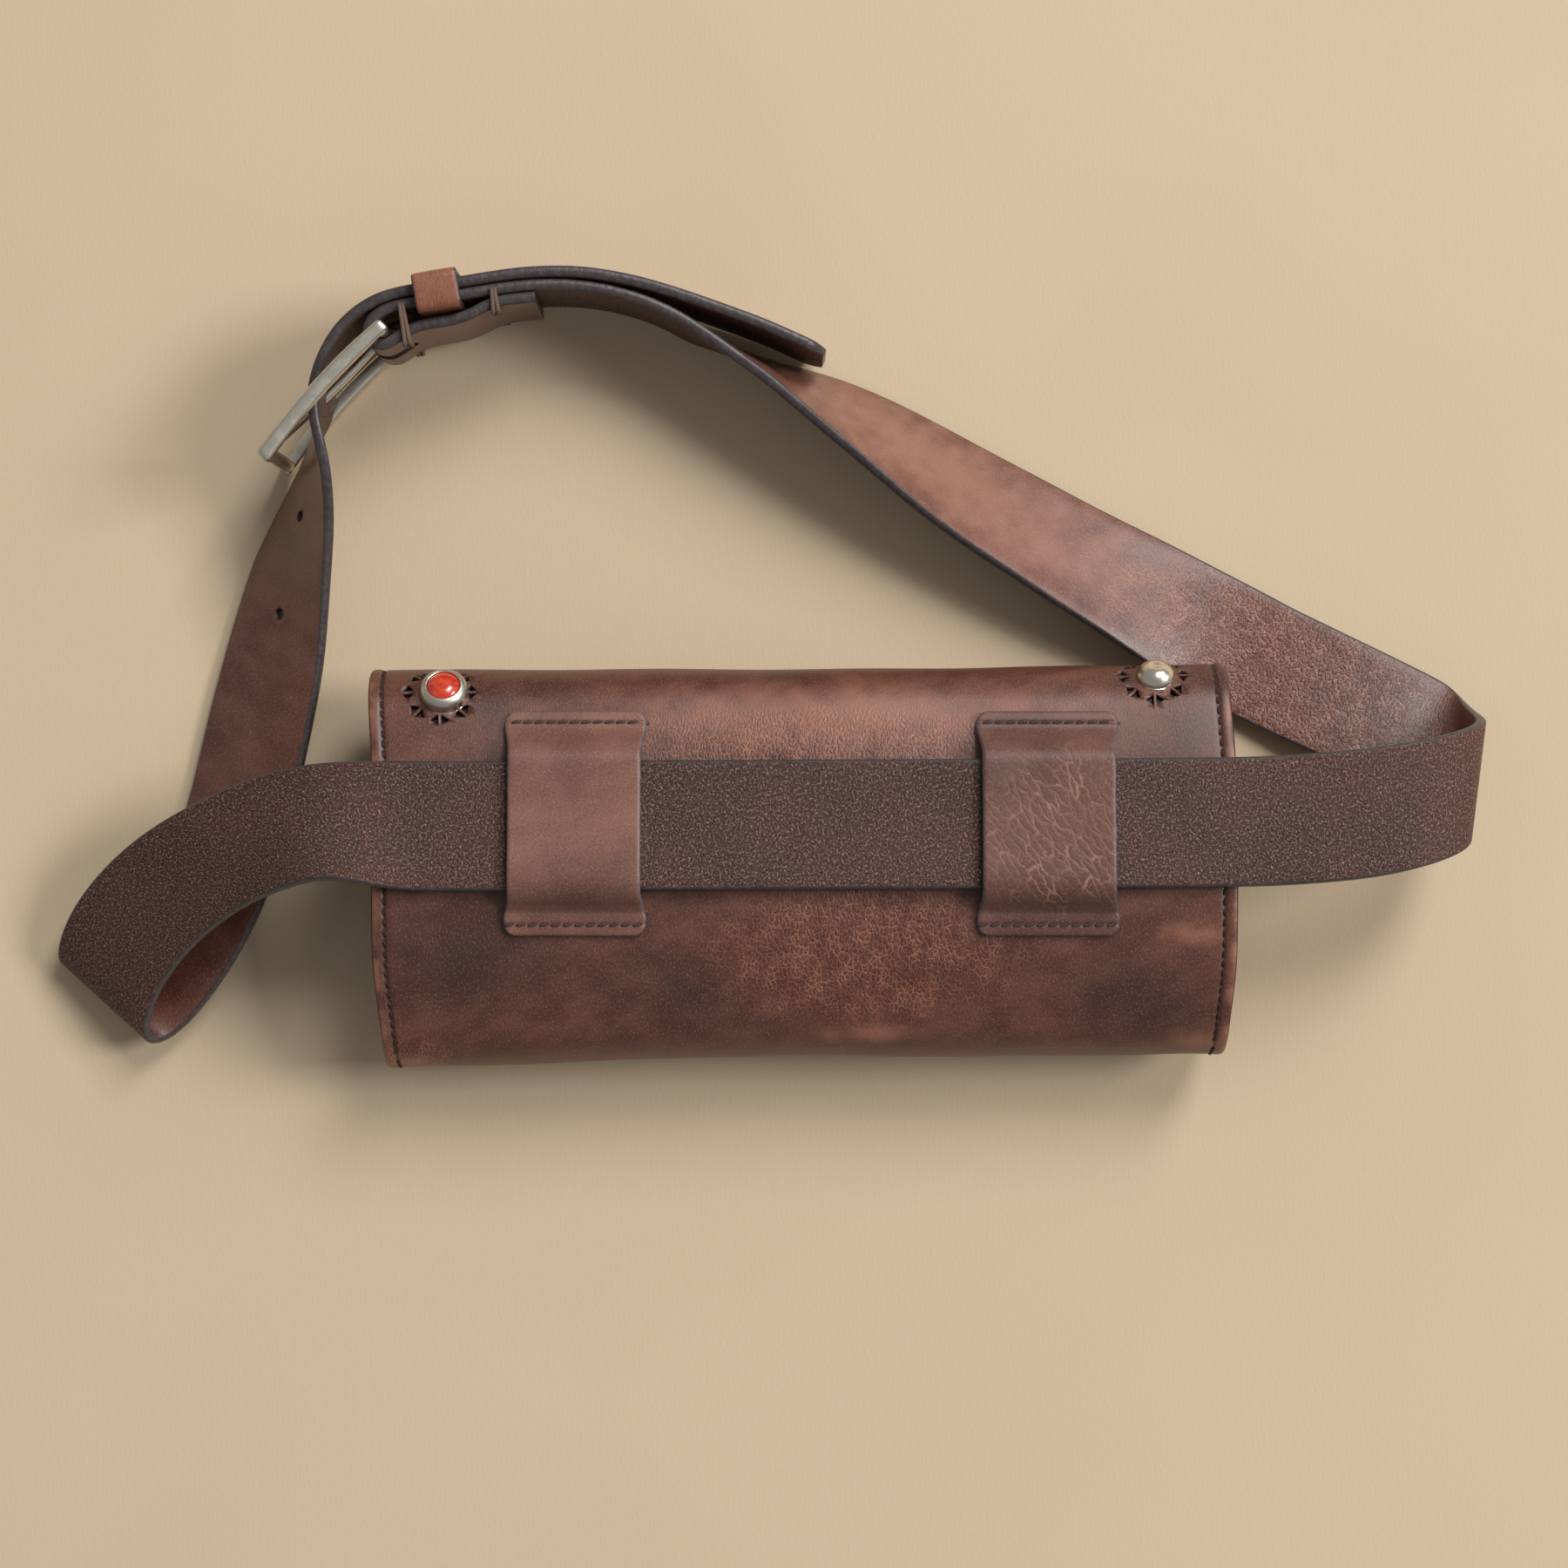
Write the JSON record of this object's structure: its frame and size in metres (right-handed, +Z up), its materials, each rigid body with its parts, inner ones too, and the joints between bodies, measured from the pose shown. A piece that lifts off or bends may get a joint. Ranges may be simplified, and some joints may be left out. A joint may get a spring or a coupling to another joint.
{
  "type": "brush roll case",
  "caption": "Folded leather brush roll lying on its front panel, with a waist belt through two loops and a concho closure.",
  "frame": {"origin": "centre of the flat underside that the closed case rests on", "axes": "+X along the case and the belt, towards the dome button; +Y towards the closure; +Z up, out of the back panel"},
  "size_m": [0.4297, 0.2366, 0.0588],
  "materials": {
    "case_leather": "waxed, semi-gloss",
    "loop_leather": "smooth, matt",
    "belt_leather": "smooth outside, open grain inside",
    "keeper_leather": "polished",
    "lining_suede": "suede",
    "waxed_thread": "waxed",
    "lace": "waxed",
    "silver": "satin, worn",
    "steel": "plain",
    "coral": "polished stone"
  },
  "bodies": {
    "front_panel": {"wrap_front": "case_leather", "wrap_lap_side": "case_leather", "wrap_lap_tip": "case_leather", "lining_front": "lining_suede", "lining_lap_side": "lining_suede", "lining_lap_tip": "lining_suede", "end_stitching_front": "waxed_thread", "end_stitching_lap_side": "waxed_thread", "end_stitching_lap_tip": "waxed_thread", "brush_pocket": "loop_leather", "brush_pocket_stitching": "waxed_thread", "closure_plates": "steel"},
    "lower_fold": {"wrap_lower_fold": "case_leather", "lining_lower_fold": "lining_suede", "end_stitching_lower_fold": "waxed_thread"},
    "upper_fold": {"wrap_upper_fold": "case_leather", "lining_upper_fold": "lining_suede", "end_stitching_upper_fold": "waxed_thread"},
    "back_panel": {"wrap_back": "case_leather", "lining_back": "lining_suede", "end_stitching_back": "waxed_thread", "tool_pocket": "loop_leather", "tool_pocket_stitching": "waxed_thread", "belt_loop_left": "loop_leather", "belt_loop_right": "loop_leather", "loop_stitching_left": "waxed_thread", "loop_stitching_right": "waxed_thread", "stone_bezel": "silver", "coral_stone": "coral", "dome_button": "silver", "stone_bezel_post": "steel", "dome_button_post": "steel", "closure_magnets": "steel"},
    "belt": {"belt_strap": "belt_leather", "fold_tie_front": "lace", "fold_tie_rear": "lace"},
    "keeper": {"strap_keeper": "keeper_leather"},
    "buckle": {"buckle_frame": "silver"},
    "prong": {"buckle_prong": "silver"}
  },
  "joints": [
    {"name": "roll_open", "type": "hinge", "parent": "front_panel", "child": "lower_fold", "pos_m": [0, -0.05056, 0.00908], "axis": [1, 0, 0], "range_deg": [0, 55]},
    {"name": "fold_middle", "type": "hinge", "parent": "lower_fold", "child": "upper_fold", "pos_m": [0, -0.0594, 0.024], "axis": [1, 0, 0], "range_deg": [0, 55]},
    {"name": "fold_top", "type": "hinge", "parent": "upper_fold", "child": "back_panel", "pos_m": [0, -0.04786, 0.0401], "axis": [1, 0, 0], "range_deg": [0, 55]},
    {"name": "belt_slide", "type": "slide", "parent": "back_panel", "child": "belt", "axis": [1, 0, 0], "range_m": [-0.004, 0.004]},
    {"name": "keeper_slide", "type": "slide", "parent": "belt", "child": "keeper", "axis": [0.9871, -0.1599, 0], "range_m": [-0.001, 0.001]},
    {"name": "buckle_swing", "type": "hinge", "parent": "belt", "child": "buckle", "pos_m": [-0.124, 0.1575, 0.0255], "axis": [0, 0, 1], "range_deg": [-1, 1]},
    {"name": "prong_swing", "type": "hinge", "parent": "buckle", "child": "prong", "pos_m": [-0.124, 0.1575, 0.0255], "axis": [0, 0, 1], "range_deg": [-1.5, 0]}
  ],
  "couplings": [
    {"joint": "fold_middle", "follows": "roll_open", "ratio": 1},
    {"joint": "fold_top", "follows": "roll_open", "ratio": 1}
  ]
}
